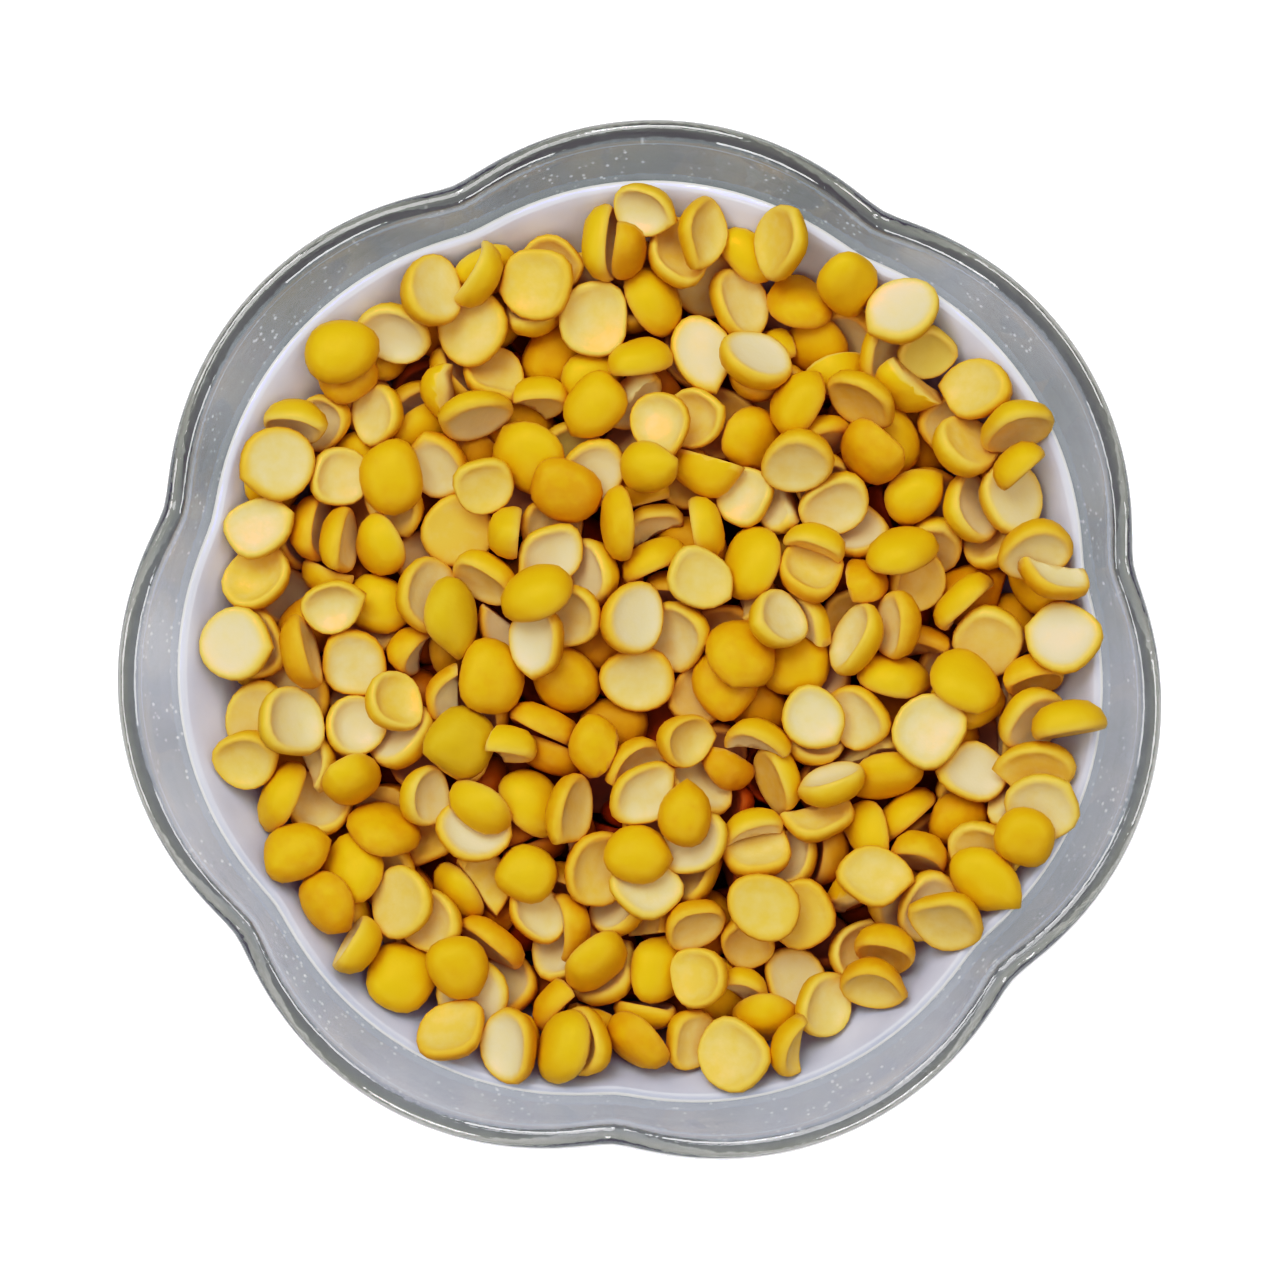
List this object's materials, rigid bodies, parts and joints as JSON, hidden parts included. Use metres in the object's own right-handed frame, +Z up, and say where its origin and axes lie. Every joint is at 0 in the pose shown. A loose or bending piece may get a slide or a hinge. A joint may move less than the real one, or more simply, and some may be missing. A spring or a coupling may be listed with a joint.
{
  "type": "seven-lobed clear glass dish with a white liner, filled with dry split yellow lentils",
  "caption": "Clear glass dish with a seven-lobed rim and a thin white liner, filled with a low heap of dry split yellow lentils.",
  "frame": {"origin": "middle of the flat underside of the glass foot, on the dish's axis", "axes": "+Z up along the dish's axis, through the heap's crown; +X level, 9.5 degrees clockwise from one notch of the rim seen from above; +Y level, square to both"},
  "size_m": [0.1048, 0.1043, 0.0397],
  "materials": {
    "clear_glass": "pressed clear soda-lime glass, fire polished, smooth with small bubbles",
    "white_liner": "satin white",
    "split_lentil": "smooth satin yellow seed leaf with a paler, slightly hollow cut face"
  },
  "bodies": {
    "root": {"glass_dish": "clear_glass", "white_liner": "white_liner", "lentil_heap": "split_lentil"}
  },
  "joints": []
}
